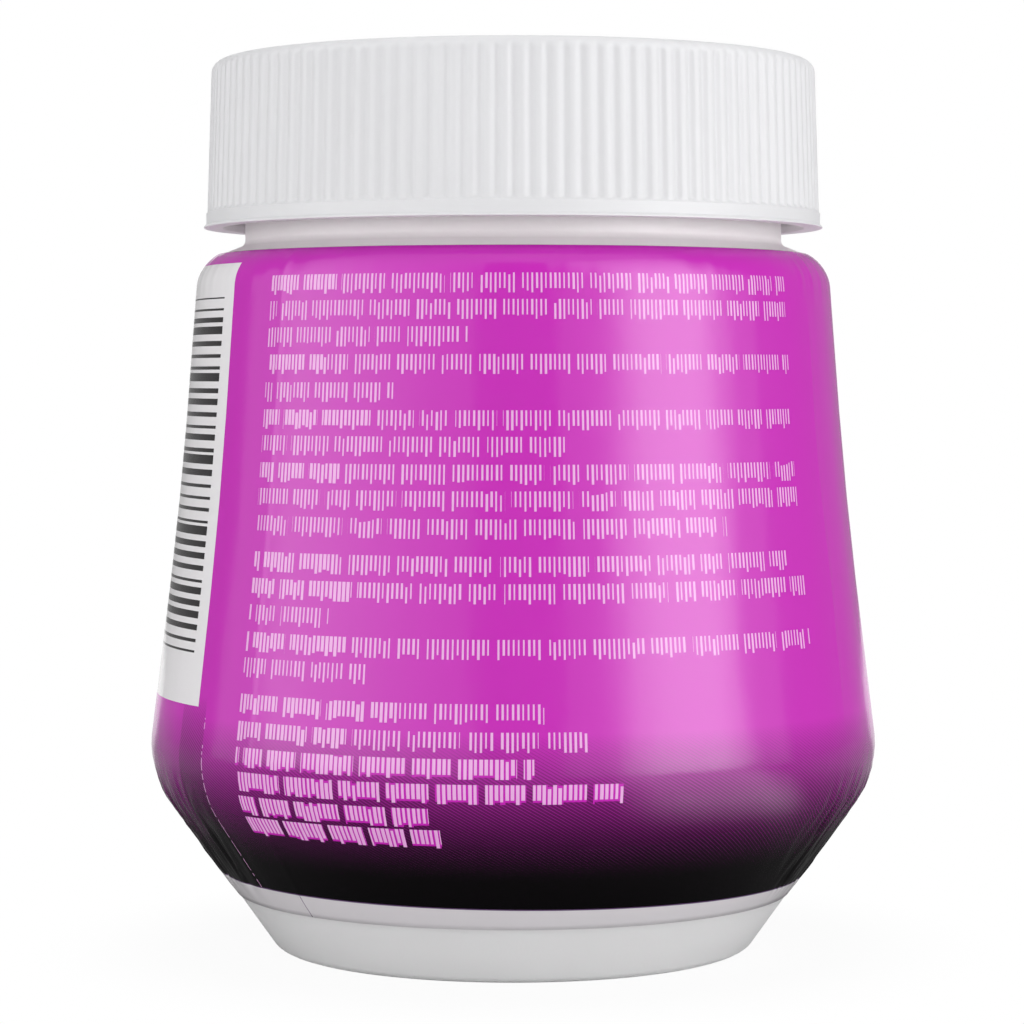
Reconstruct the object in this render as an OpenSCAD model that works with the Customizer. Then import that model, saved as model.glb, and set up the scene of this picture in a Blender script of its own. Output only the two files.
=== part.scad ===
// Dip jar for nail polish remover: a moulded jar with a shrink sleeve, a foam block
// with a finger hole, and a ribbed screw cap with a loose sealing wad.
// Origin at the middle of the base, +Z up the jar's axis, rest pose with the cap on.

/* [Jar body] */
// Diameter of the foot, at its sharp corner before rounding
foot_d = 39.2; // [34:0.2:44]
// Height of the lower cone, from the base to the belly
cone_h = 15.1; // [12:0.1:20]
// Diameter of the belly, at its sharp corner before rounding
belly_d = 60.5; // [58:0.1:66]
// Height of the wall from the belly to the bend
lower_wall_h = 22.4; // [18:0.1:30]
// Diameter at the bend of the wall
bend_d = 54.9; // [54:0.1:58]
// Height of the wall from the bend to the shoulder
upper_wall_h = 19.2; // [15:0.1:26]
// Diameter of the shoulder, at its sharp corner before rounding
shoulder_d = 51.9; // [51.6:0.1:54]
// Rise of the shoulder, from its corner to the foot of the neck
shoulder_rise = 1.5; // [1:0.1:3]
// Thickness of the body's wall
jar_wall = 1.3; // [0.9:0.05:1.8]
// Thickness of the floor over the hollow under the base
floor_t = 1.4; // [1:0.1:2]
// Diameter of the hollow under the base
hollow_d = 32; // [26:0.5:34]
// Depth of the hollow under the base
hollow_h = 1.2; // [0.6:0.1:2]

/* [Jar roundings] */
// Radius of the foot's corner
foot_round = 1.8; // [1:0.1:4]
// Radius of the belly
belly_round = 7; // [2:0.1:8]
// Radius of the long bend in the wall
bend_round = 300; // [100:10:400]
// Radius of the shoulder
shoulder_round = 3.8; // [1.5:0.1:4]
// Radius where the shoulder meets the neck
neck_fillet = 0.6; // [0.3:0.1:1]
// Radius of the rim's edges
rim_round = 0.4; // [0.2:0.05:0.6]

/* [Neck and mouth] */
// Outside diameter of the neck
neck_d = 44.4; // [42:0.1:46]
// Height of the neck, from the shoulder to the rim
neck_h = 12.8; // [11.5:0.1:15]
// Thickness of the neck's wall
neck_wall = 1.6; // [1.2:0.1:2.4]

/* [Sleeve] */
// Thickness of the shrink film
film_t = 0.15; // [0.1:0.01:0.3]
// Height of the film's lower edge above the base
film_low_h = 4.8; // [3:0.1:8]
// Diameter of the film's upper edge, on the shoulder
film_top_d = 49.2; // [48:0.1:50.4]

/* [Cap] */
// Height of the cap
cap_h = 13.7; // [12.5:0.1:14.5]
// Thickness of the cap's top plate
cap_top_t = 1.3; // [1:0.1:2.5]
// Thickness of the cap's skirt, from its bore to the bottom of the grooves
cap_wall = 0.85; // [0.8:0.05:1.6]
// Room round the neck for the screw thread, from neck to bore
thread_room = 1.55; // [1.2:0.05:2]
// How much the skirt widens from its top to its band
cap_draft = 0.4; // [0:0.05:0.5]
// Radius of the cap's top edge
cap_edge_round = 1; // [0.5:0.1:1.4]
// Height of the plain band under the ribs
band_h = 1.3; // [0.8:0.1:2.5]
// Height of the thin lip at the foot of the band
lip_h = 0.3; // [0.2:0.05:0.5]
// How far the lip stands out from the band
lip_out = 0.2; // [0.05:0.05:0.3]
// How far the band stands out from the ribs
band_out = 0.1; // [0.02:0.01:0.1]
// Height of the plain strip above the ribs
plain_top_h = 0.75; // [0.5:0.05:1.5]

/* [Ribs] */
// Number of ribs round the cap
rib_count = 120; // [90:2:132]
// Depth of the grooves that part the ribs
groove_depth = 0.3; // [0.2:0.01:0.4]
// Width of a groove's floor
groove_floor_w = 0.2; // [0.1:0.02:0.3]
// Width of a groove where its walls meet the round front of the ribs
groove_wall_w = 0.5; // [0.4:0.02:0.6]
// Width of a groove at the front of the ribs
groove_mouth_w = 0.9; // [0.8:0.02:1]

/* [Wad] */
// Thickness of the sealing wad
wad_t = 1; // [0.6:0.1:1.6]
// Gap between the wad's edge and the cap's bore
wad_gap = 0.35; // [0.2:0.05:0.5]
// How far the bead that holds the wad stands into the bore
bead_in = 0.55; // [0.4:0.05:0.7]
// Height of the bead that holds the wad
bead_h = 1.2; // [0.8:0.1:1.6]

/* [Sponge] */
// Diameter of the foam block
sponge_d = 50; // [46:0.2:52]
// Height of the free space between the foam and the shoulder's corner
head_gap = 2.7; // [2:0.1:8]
// Gap between the foam and the jar
sponge_gap = 0.3; // [0.2:0.05:0.5]
// Diameter of the finger hole
hole_d = 16; // [14:0.2:20]
// Thickness of foam left under the finger hole
hole_floor = 10; // [6:0.5:20]
// Radius of the finger hole's mouth
hole_mouth_round = 2.5; // [1:0.1:4]
// Radius at the bottom of the finger hole
hole_end_round = 5; // [2:0.2:6]

/* [Hidden] */
// Facets of a full turn, and the largest angle between two points of an arc
round_fn = 180;
arc_step = 6;
// A length past every outline
far = 200;

// Heights up the axis
belly_z = cone_h;
bend_z = belly_z + lower_wall_h;
shoulder_z = bend_z + upper_wall_h;
neck_z = shoulder_z + shoulder_rise;
rim_z = neck_z + neck_h;
cap_top_z = rim_z + wad_t + cap_top_t;
cap_low_z = cap_top_z - cap_h;
sponge_low_z = floor_t + hollow_h + sponge_gap;
sponge_top_z = shoulder_z - head_gap;
hole_low_z = sponge_low_z + hole_floor;

// Radii
neck_r = neck_d / 2;
mouth_r = neck_r - neck_wall;
bore_r = neck_r + thread_room;
skirt_top_r = bore_r + cap_wall + groove_depth;
skirt_low_r = skirt_top_r + cap_draft;
band_r = skirt_low_r + band_out;
wad_r = bore_r - wad_gap;
hollow_r = hollow_d / 2;
hole_r = hole_d / 2;

// Corners of the jar's outside, each with its rounding: [radius, height, rounding]
jar_corners = [
    [foot_d / 2, 0, foot_round],
    [belly_d / 2, belly_z, belly_round],
    [bend_d / 2, bend_z, bend_round],
    [shoulder_d / 2, shoulder_z, shoulder_round],
    [neck_r, neck_z, neck_fillet],
    [neck_r, rim_z, rim_round]
];

// Corners of the finger hole, from its bottom to past the foam's top
hole_corners = [
    [hole_r, hole_low_z, hole_end_round],
    [hole_r, sponge_top_z, hole_mouth_round]
];

function unit(v) = v / norm(v);
function flat(c) = [c[0], c[1]];
function turned(v, a) = [v[0] * cos(a) - v[1] * sin(a), v[0] * sin(a) + v[1] * cos(a)];

// Points of the arc that rounds corner b between its neighbours a and c.
// The rounding is held to what the two sides have room for.
function corner_arc(a, b, c, wanted) =
    let (
        u = unit(a - b),
        v = unit(c - b),
        half = acos(u * v) / 2,
        room = 0.48 * min(norm(a - b), norm(c - b)) * tan(half),
        r = min(wanted, room),
        centre = b + unit(u + v) * r / sin(half),
        start = b + u * r / tan(half) - centre,
        sweep = (180 - 2 * half) * sign(v[0] * u[1] - v[1] * u[0]),
        steps = max(3, ceil(abs(sweep) / arc_step))
    )
    [for (k = [0 : steps]) centre + turned(start, sweep * k / steps)];

// An outline that starts at first, rounds every corner in turn and ends at last
function rounded(first, corners, last) =
    let (
        path = concat([first], [for (c = corners) flat(c)], [last])
    )
    concat(
        [first],
        [for (i = [0 : len(corners) - 1])
            each corner_arc(path[i], path[i + 1], path[i + 2], corners[i][2])],
        [last]
    );

// Half of the jar's outside as an area from the axis, grown or shrunk by out
module jar_area(out = 0) {
    side = rounded([0, 0], jar_corners, [0, rim_z]);
    other = [for (i = [len(side) - 2 : -1 : 1]) [-side[i][0], side[i][1]]];
    intersection() {
        translate([0, -far]) square([far, 2 * far]);
        offset(delta = out) polygon(concat(side, other));
    }
}

// Area of the hollow under the base, grown by out, with a side that leans in at 45 degrees
module hollow_area(out = 0) {
    polygon([
        [0, -far],
        [hollow_r + out, -far],
        [hollow_r + out, 0],
        [hollow_r + out - hollow_h, hollow_h + out],
        [0, hollow_h + out]
    ]);
}

module jar() {
    color("#e6e3e6")
    rotate_extrude($fn = round_fn)
    difference() {
        jar_area();
        hollow_area();
        // Inside of the body
        difference() {
            intersection() {
                jar_area(-jar_wall);
                square([far, shoulder_z]);
            }
            hollow_area(floor_t);
        }
        // Bore of the neck, with a round edge at the mouth
        polygon(concat(
            rounded([mouth_r, belly_z], [[mouth_r, rim_z, rim_round]], [far, rim_z]),
            [[far, far], [0, far], [0, belly_z]]
        ));
    }
}

module label_sleeve() {
    color("#c93db9")
    rotate_extrude($fn = round_fn)
    intersection() {
        difference() {
            jar_area(film_t);
            jar_area();
        }
        polygon([
            [0, film_low_h],
            [far, film_low_h],
            [far, rim_z],
            [film_top_d / 2, rim_z],
            [film_top_d / 2, belly_z],
            [0, belly_z]
        ]);
    }
}

module sponge() {
    color("#e9b7cf")
    rotate_extrude($fn = round_fn)
    difference() {
        intersection() {
            jar_area(-jar_wall - sponge_gap);
            translate([0, sponge_low_z]) square([sponge_d / 2, sponge_top_z - sponge_low_z]);
        }
        polygon(concat(
            rounded([0, hole_low_z], hole_corners, [far, sponge_top_z]),
            [[far, far], [0, far]]
        ));
    }
}

module cap_liner() {
    color("#f4f3f1")
    translate([0, 0, rim_z]) cylinder(h = wad_t, r = wad_r, $fn = round_fn);
}

// The cap before its grooves: top plate, drafted skirt, band, lip and wad bead
module cap_shell() {
    side = rounded(
        [0, cap_top_z],
        [[skirt_top_r, cap_top_z, cap_edge_round]],
        [skirt_low_r, cap_low_z + band_h]
    );
    outside = concat(side, [
        [band_r, cap_low_z + band_h],
        [band_r, cap_low_z + lip_h],
        [band_r + lip_out, cap_low_z],
        [bore_r, cap_low_z],
        [bore_r, rim_z - bead_h],
        [bore_r - bead_in, rim_z - bead_h / 2],
        [bore_r, rim_z],
        [bore_r, rim_z + wad_t],
        [0, rim_z + wad_t]
    ]);
    rotate_extrude($fn = round_fn) polygon(outside);
}

// One groove between two ribs, leaning with the skirt's draft
module groove() {
    low_z = cap_low_z + band_h;
    run = cap_top_z - plain_top_h - low_z;
    lean = atan(cap_draft / (cap_top_z - low_z));
    translate([skirt_low_r, 0, low_z])
    rotate([0, -lean, 0])
    linear_extrude(run)
    polygon([
        [groove_depth, -groove_mouth_w / 2],
        [0, -groove_mouth_w / 2],
        [-groove_depth / 3, -groove_wall_w / 2],
        [-groove_depth, -groove_floor_w / 2],
        [-groove_depth, groove_floor_w / 2],
        [-groove_depth / 3, groove_wall_w / 2],
        [0, groove_mouth_w / 2],
        [groove_depth, groove_mouth_w / 2]
    ]);
}

module cap() {
    color("#dfdee3")
    difference() {
        cap_shell();
        for (i = [0 : rib_count - 1]) rotate([0, 0, i * 360 / rib_count]) groove();
    }
}

jar();
label_sleeve();
sponge();
cap_liner();
cap();
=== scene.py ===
"""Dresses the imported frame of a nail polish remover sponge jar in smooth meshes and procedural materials.

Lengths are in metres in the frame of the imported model: the origin is under the middle of the foot, +Z runs
up the axis and the printed side faces -Y. Outlines are in millimetres, as (radius, height, rounding), and
so are the named lengths that follow them. Azimuths are 0 at the front and grow to the right.
"""

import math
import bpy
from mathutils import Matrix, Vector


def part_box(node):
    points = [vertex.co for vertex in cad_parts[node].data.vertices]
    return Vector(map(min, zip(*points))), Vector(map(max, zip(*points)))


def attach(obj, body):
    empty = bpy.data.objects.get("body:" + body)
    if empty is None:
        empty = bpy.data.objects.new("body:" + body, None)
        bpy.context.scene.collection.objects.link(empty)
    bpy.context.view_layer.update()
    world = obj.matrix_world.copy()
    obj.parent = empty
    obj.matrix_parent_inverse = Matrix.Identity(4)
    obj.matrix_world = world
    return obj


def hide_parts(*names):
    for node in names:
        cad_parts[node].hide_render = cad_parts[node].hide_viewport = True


bl_info = {
    "name": "Sponge Jar",
    "version": (1, 0, 0),
    "blender": (4, 5, 0),
    "location": "3D View > Sidebar > Sponge Jar",
    "description": "Builds a dip jar with its cap, wad, foam and printed sleeve around a packed frame",
    "category": "Add Mesh",
}

import bmesh
import bpy
from bpy.props import FloatProperty, FloatVectorProperty, IntProperty, PointerProperty
from mathutils import Matrix, Vector, noise

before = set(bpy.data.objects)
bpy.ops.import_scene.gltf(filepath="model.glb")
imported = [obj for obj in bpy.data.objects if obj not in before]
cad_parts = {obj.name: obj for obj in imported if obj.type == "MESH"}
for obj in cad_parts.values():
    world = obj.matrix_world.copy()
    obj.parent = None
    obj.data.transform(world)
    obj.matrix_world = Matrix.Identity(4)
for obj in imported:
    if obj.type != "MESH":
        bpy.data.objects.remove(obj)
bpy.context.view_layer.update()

MM = 0.001

# Heights that the frame gives, in millimetres
RIM_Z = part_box("jar")[1].z / MM
CAP_LOW_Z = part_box("cap")[0].z / MM
CAP_TOP_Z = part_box("cap")[1].z / MM
WAD_LOW_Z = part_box("cap_liner")[0].z / MM
WAD_TOP_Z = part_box("cap_liner")[1].z / MM
FOAM_LOW_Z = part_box("sponge")[0].z / MM
FOAM_TOP_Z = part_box("sponge")[1].z / MM
FILM_LOW_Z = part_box("label_sleeve")[0].z / MM

# Radii of the neck and of the mouth's bore
NECK_R = 22.2
MOUTH_R = 20.6
# The jar's outside, from the ring it stands on up to its rim
JAR_SIDE = [
    (19.6, 0, 1.4),
    (30.25, 15.1, 7),
    (27.45, 37.5, 300),
    (25.95, 56.7, 3.8),
    (NECK_R, 58.2, 0.6),
    (NECK_R, RIM_Z, 0.4),
]
# The jar's inside, from the mouth down to the middle of its floor
JAR_INSIDE = [
    (MOUTH_R, RIM_Z, 0.4),
    (MOUTH_R, 56.7, 0.3),
    (22.49, 56.7, 0),
    (24.71, 55.78, 2.5),
    (26.16, 37.37, 250),
    (28.9, 15.44, 5.7),
    (18.93, 1.3, 1.2),
    (17.5, 1.3, 0),
    (16.2, 2.6, 0.3),
    (0, 2.6, 0),
]
# The hollow under the base, from its middle out to the inner edge of the ring
RING_IN_R = 16
JAR_HOLLOW = [(0, 1.2, 0), (14.8, 1.2, 0.3), (RING_IN_R, 0, 0.3)]
# The longest run between two rows of the jar
JAR_ROW = 3

# The film's outer face stands this far off the jar, and its inner face this far
FILM_OUT = 0.13
FILM_IN = 0.03
FILM_TOP_Z = 57.42
# How much thinner it is at its lower edge, the height in which that runs out, and in which its waves begin
EDGE_THIN = 0.07
EDGE_THIN_H = 1
EDGE_SMOOTH_H = 1.5
# The longest run between two rows of its outer and of its inner face
FILM_OUTER_ROW = 0.55
FILM_INNER_ROW = 6
# Azimuths in degrees: the crease up the wall, half a crease's width, where the folds under the belly begin
# and are full, and the crinkled patch at the shoulder with half its width
WALL_CREASE_AZIMUTH = 62.5
CREASE_HALF = 0.9
FOLD_SIDES = (48, 66)
PATCH_AZIMUTH = 64
PATCH_HALF = 12

SKIRT_TOP_R = 24.9
SKIRT_LOW_R = 25.3
BAND_R = 25.4
LIP_R = 25.6
BORE_R = 23.75
BEAD_R = 23.2
BAND_H = 1.3
LIP_H = 0.3

# The grooves between the ribs: where they end above, how tall their rounded ends are, and the distances
# from a groove's middle between which its wall rises
RIB_FADE_Z = 73.2
RIB_TOP_H = 1.1
RIB_FOOT_H = 0.2
GROOVE_WALL = (0.05, 0.48)
RIB_STEPS = 8
# Rows for the rounded ends, down from RIB_FADE_Z and up from the band
RIB_TOP_ROWS = [0.15 * k for k in range(1, 10)]
RIB_FOOT_ROWS = [0.06 * k for k in (0, 1, 2, 4, 7)]

# Both threads start at this angle about the axis, the jar's at this height
THREAD_PITCH = 4.233
THREAD_START = 0.4
THREAD_Z = 64.2
THREAD_STEPS = 120
# Each end of a thread runs out into the wall over this angle
THREAD_TAPER = math.radians(28)
# Root and crest radius, root and crest width, height at the start, and turns
JAR_THREAD = (NECK_R - 0.1, 23.45, 2.0, 1.0, THREAD_Z, 1.2)
CAP_THREAD = (BORE_R + 0.1, 22.5, 1.6, 0.8, THREAD_Z - THREAD_PITCH / 2, 1.1)

# The finger hole's radius, and its floor's height over the foam's foot
HOLE_R = 8
HOLE_FLOOR = 10
# Depth of the foam's pores, and of the slow lumps of its top
PORE_DEPTH = 0.12
LUMP_DEPTH = 0.2
FOAM_ROW = 0.9
FOAM_STEPS = 216

# The wad, and how deep the rim has pressed its ring into it
WAD_R = 23.4
PRESSED_DEPTH = 0.12
WAD_STEPS = 192

# Steps of the sector that a lathe spins before it copies it round; every count of steps is a multiple of it
SECTOR_STEPS = 24


def linear(code):
    """Turns an sRGB hex colour such as be0faf into the linear one that shaders take."""
    parts = [int(code[i : i + 2], 16) / 255 for i in (0, 2, 4)]
    return tuple(c / 12.92 if c <= 0.04045 else ((c + 0.055) / 1.055) ** 2.4 for c in parts)


def smooth_step(value, low, high):
    """0 below low, 1 above high and a smooth rise between them; low may be the larger of the two."""
    share = min(1, max(0, (value - low) / (high - low)))
    return share * share * (3 - 2 * share)


def bump_at(value, middle, half_width):
    """1 at middle, fading smoothly to 0 at half_width to either side."""
    return 1 - smooth_step(abs(value - middle), 0, half_width)


def outline(corners, segments=8):
    """Rounds the corners of an open outline and returns its points in order, as (radius, height) in mm."""
    bm = bmesh.new()
    verts = [bm.verts.new((r, 0, z)) for r, z, _ in corners]
    for pair in zip(verts, verts[1:]):
        bm.edges.new(pair)
    roundings = []
    for before, here, after, corner in zip(verts, verts[1:], verts[2:], corners[1:]):
        arm, next_arm = before.co - here.co, after.co - here.co
        turn = math.pi - arm.angle(next_arm)
        room = 0.48 * min(arm.length, next_arm.length)
        width = min(corner[2] * math.tan(turn / 2), room)
        if width > 0:
            roundings.append((here, width, turn))
    for vert, width, turn in roundings:
        bmesh.ops.bevel(
            bm,
            geom=[vert],
            offset=width,
            offset_type="OFFSET",
            segments=max(2, math.ceil(segments * turn / (math.pi / 2))),
            profile=0.5,
            affect="VERTICES",
            material=-1,
        )
    here, came_by = verts[0], None
    points = [(here.co.x, here.co.z)]
    while True:
        onward = [e for e in here.link_edges if e != came_by]
        if not onward:
            break
        came_by = onward[0]
        here = came_by.other_vert(here)
        points.append((here.co.x, here.co.z))
    bm.free()
    return points


def grown(points, out):
    """The outline moved outwards, to its right-hand side as it runs, by out mm, with mitred corners."""
    sides = []
    for (r0, z0), (r1, z1) in zip(points, points[1:]):
        sides.append(Vector((z1 - z0, r0 - r1)).normalized())
    moved = []
    for i, (r, z) in enumerate(points):
        first, last = sides[max(0, i - 1)], sides[min(i, len(sides) - 1)]
        way = (first + last).normalized()
        reach = out / way.dot(first)
        moved.append((r + way.x * reach, z + way.y * reach))
    return moved


def between(points, low, high):
    """The part of an outline between two heights, with a new point where it crosses each."""
    kept = []
    for (r0, z0), (r1, z1) in zip(points, points[1:]):
        for height in (low, high):
            if (z0 - height) * (z1 - height) < 0:
                share = (height - z0) / (z1 - z0)
                kept.append((r0 + (r1 - r0) * share, height))
        if low <= z1 <= high:
            kept.append((r1, z1))
    return kept


def spaced(points, longest):
    """The outline with points added so that no run is longer than longest mm."""
    result = [points[0]]
    for (r0, z0), (r1, z1) in zip(points, points[1:]):
        parts = max(1, math.ceil(math.hypot(r1 - r0, z1 - z0) / longest))
        result += [(r0 + (r1 - r0) * k / parts, z0 + (z1 - z0) * k / parts) for k in range(1, parts + 1)]
    return result


def lathe(points, steps, closed=False):
    """Spins an outline in mm once round the axis and returns the bmesh, in metres, with its faces outwards.
    One sector is spun, and turned copies of it close the circle, which is quicker than one long spin."""
    bm = bmesh.new()
    verts = [bm.verts.new((r * MM, 0, z * MM)) for r, z in points]
    edges = [bm.edges.new(pair) for pair in zip(verts, verts[1:])]
    if closed:
        edges.append(bm.edges.new((verts[-1], verts[0])))
    sectors = steps // SECTOR_STEPS
    sector = 2 * math.pi / sectors
    centre = {"cent": (0, 0, 0), "axis": (0, 0, 1)}
    bmesh.ops.spin(bm, geom=verts + edges, angle=sector, steps=SECTOR_STEPS, use_duplicate=False, **centre)
    whole = [*bm.verts, *bm.edges, *bm.faces]
    turned = 2 * math.pi - sector
    bmesh.ops.spin(bm, geom=whole, angle=turned, steps=sectors - 1, use_duplicate=True, **centre)
    bmesh.ops.remove_doubles(bm, verts=bm.verts, dist=0.002 * MM)
    bmesh.ops.recalc_face_normals(bm, faces=bm.faces)
    return bm


def placed(bm, name, material):
    """Makes an object of a bmesh, with one material, and puts it in the scene."""
    mesh = bpy.data.meshes.new(name)
    bm.to_mesh(mesh)
    bm.free()
    mesh.materials.append(material)
    obj = bpy.data.objects.new(name, mesh)
    bpy.context.scene.collection.objects.link(obj)
    return obj


def piece(bm, name, body, slot, material, *nodes):
    """Makes a smooth-shaded object of a bmesh and hangs it on its body in place of the CAD nodes."""
    bmesh.ops.triangulate(bm, faces=[f for f in bm.faces if len(f.verts) > 4])
    obj = placed(bm, name, material)
    obj.data.shade_smooth()
    if nodes:
        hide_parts(*nodes)
    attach(obj, body)
    return obj


def sharpen(obj, degrees):
    """Keeps edges crisp where two faces meet at more than the angle."""
    obj.data.set_sharp_from_angle(angle=math.radians(degrees))


def add(tree, kind, inputs=None, **settings):
    """Adds a shader node of a kind, such as Math, with its settings, and sets or links each input. A node
    given as an input stands for its first output."""
    node = tree.nodes.new("ShaderNode" + kind)
    for name, value in settings.items():
        setattr(node, name, value)
    for socket, value in (inputs or {}).items():
        if isinstance(value, bpy.types.Node):
            value = value.outputs[0]
        if isinstance(value, bpy.types.NodeSocket):
            tree.links.new(value, node.inputs[socket])
        else:
            node.inputs[socket].default_value = value
    return node


def new_material(name):
    """An empty material with its node tree."""
    material = bpy.data.materials.new(name)
    material.use_nodes = True
    material.node_tree.nodes.clear()
    return material, material.node_tree


def turn_of(tree, axis):
    """The azimuth in radians of the point that axis splits: 0 at the front, growing to the right."""
    front = add(tree, "Math", {0: axis.outputs["Y"], 1: -1.0}, operation="MULTIPLY")
    return add(tree, "Math", {0: axis.outputs["X"], 1: front}, operation="ARCTAN2")


# Materials


def polyethylene(look):
    """Natural high-density polyethylene, blow moulded: milky and slightly see-through, so its edges glow
    and its gloss is soft, with the faint long waves that a parison leaves."""
    material, tree = new_material("Natural polyethylene, blow moulded")
    place = add(tree, "TexCoord").outputs["Object"]
    # Waves about 14 mm across, drawn out up the axis
    drawn = add(tree, "Mapping", {0: place, "Scale": (70, 70, 22)})
    waves = add(tree, "TexNoise", {"Vector": drawn, "Scale": 1.0, "Detail": 2.0})
    # Grain of the blasted mould, about 0.25 mm
    grain = add(tree, "TexNoise", {"Vector": place, "Scale": 4000.0, "Detail": 1.0})
    shades = {0: waves, 6: (*look.colour_low, 1), 7: (*look.colour_high, 1)}
    tint = add(tree, "Mix", shades, data_type="RGBA")
    # Above the shoulder the tint runs to a paler, pinker one on the neck: painted light that makes up for
    # the shade under the cap's overhang, and a painted pink reflection of the film
    axis = add(tree, "SeparateXYZ", {0: place})
    shoulder = {"Value": axis.outputs["Z"], "From Min": 0.05, "From Max": 0.057}
    thick = add(tree, "MapRange", shoulder)
    shades = {0: thick, 6: tint.outputs[2], 7: (*look.neck_painted_light, 1)}
    tint = add(tree, "Mix", shades, data_type="RGBA")
    rough = add(tree, "MapRange", {"Value": grain, "To Min": 0.34, "To Max": 0.46})
    height = add(tree, "Math", {0: waves, 1: 6.0, 2: grain}, operation="MULTIPLY_ADD")
    relief = add(tree, "Bump", {"Height": height, "Strength": 0.25, "Distance": 0.00003})
    shader = add(
        tree,
        "BsdfPrincipled",
        {
            "Base Color": tint.outputs[2],
            "Roughness": rough,
            "IOR": 1.54,
            "Subsurface Weight": 0.5,
            "Subsurface Radius": (1.0, 0.9, 0.95),
            "Subsurface Scale": 0.003,
            "Normal": relief,
        },
    )
    add(tree, "OutputMaterial", {0: shader})
    return material


def polypropylene(look):
    """Off-white polypropylene, injection moulded: opaque, and satin from a finely eroded mould."""
    material, tree = new_material("Off-white polypropylene, injection moulded")
    place = add(tree, "TexCoord").outputs["Object"]
    # Eroded grain, about 0.2 mm
    grain = add(tree, "TexNoise", {"Vector": place, "Scale": 5000.0, "Detail": 2.0})
    # Slow flow marks, about 12 mm
    flow = add(tree, "TexNoise", {"Vector": place, "Scale": 85.0, "Detail": 2.0})
    shades = {0: flow, 6: (*look.colour_low, 1), 7: (*look.colour_high, 1)}
    tint = add(tree, "Mix", shades, data_type="RGBA")
    rough = add(tree, "MapRange", {"Value": grain, "To Min": 0.4, "To Max": 0.52})
    relief = add(tree, "Bump", {"Height": grain, "Strength": 0.12, "Distance": 0.00002})
    shader = add(
        tree,
        "BsdfPrincipled",
        {
            "Base Color": tint.outputs[2],
            "Roughness": rough,
            "IOR": 1.49,
            "Specular IOR Level": 0.35,
            "Subsurface Weight": 0.15,
            "Subsurface Radius": (1.0, 0.95, 1.0),
            "Subsurface Scale": 0.0008,
            "Normal": relief,
        },
    )
    add(tree, "OutputMaterial", {0: shader})
    return material


# Lines of the printed block: height in mm, azimuth where the line ends and where its heavy opening ends
PRINT_LINES = [
    (54.5, 54.5, -29.5),
    (52.5, 54, None),
    (50.45, -7.5, None),
    (48.35, 54, -32.5),
    (46.2, -19.5, None),
    (44.1, 53.5, -23.5),
    (42.1, 9, None),
    (40.0, 54, -27.5),
    (38.0, 54, None),
    (35.9, 36, None),
    (33.1, 49.5, -29),
    (31.05, 54, -24.5),
    (29.0, -29.5, None),
    (26.9, 53.5, -24.5),
    (24.9, -22.5, None),
    (22.1, 4.5, -17.5),
    (20.0, 11, -23.5),
    (18.0, 3, 3),
    (16.1, 16, 16),
    (14.2, -12.5, -12.5),
    (12.5, -11, -11),
]
LINES_FROM = -45.8
LINE_H = 1.5
# Words are up to twice this long, in degrees, with this share of it bare at each end
WORD_STEP = 8
WORD_GAP = 0.06
# Sets the chances of one line apart from those of the next
LINE_SHIFT = 37.3
# Degrees from one stroke to the next, about 0.37 mm, and the share of them that a stroke covers
STROKE_STEP = 0.76
STROKE_SHARE = (0.3, 0.52)
HEAVY_EXTRA = 0.22
# A short stroke, and the plate behind it, end at these distances from the middle of their line
SHORT_END = 0.42
PLATE_END = 0.58
# The lowest lines stand on a plate of plain ink, because they lie on the dark part of the print
PLATED_BELOW = 19.1

PANEL_AZIMUTH = (-108, -57)
PANEL_Z = (21.4, 56.4)
BARS_AZIMUTH = (-104.5, -60.5)
BARS_Z = (25.5, 53.7)
# From one bar to the next, in mm, and the share of it that a bar covers
BAR_STEP = 0.94
BAR_SHARE = (0.15, 0.85)

# Height of the print's foot at the front, how far it sinks 22 mm to the right, and its hair line's height
PRINT_LOW_Z = 6.5
PRINT_TILT = 0.23
TILT_AT = 0.022
HAIR_H = 0.1
# The fade to black: its heights, how its ink lines thin out, and the share of its screen that runs together
FADE_FROM_Z = 20.6
FADE_TO_Z = 8.8
FADE_POWER = 1.9
SCREEN_HAZE = 0.7
# Its lines, 0.22 mm apart: how many cross a mm of height, and how far they sink for a degree to the right
SCREEN_LINES = 3.94
SCREEN_LEAN = 0.3
# The seam, its dots to a mm of height and the share that shows, and the lap to its left, where the black
# was printed higher
SEAM_AZIMUTH = -54.5
SEAM_DOTS = 4.0
DOT_SHARE = 0.6
LAP_HALF = 3.8
LAP_RISE = 1.7
CREASE_AZIMUTH = -43.2
# Half the width of the seam's and the crease's line, in degrees
FINE_LINE = 0.08


def steps_along(tree, value, rate):
    """Cuts a value into steps, rate of them to its unit: the number of the step, and how far through it."""
    run = add(tree, "Math", {0: value, 1: rate}, operation="MULTIPLY")
    return [add(tree, "Math", {0: run}, operation=part) for part in ("FLOOR", "FRACT")]


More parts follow.
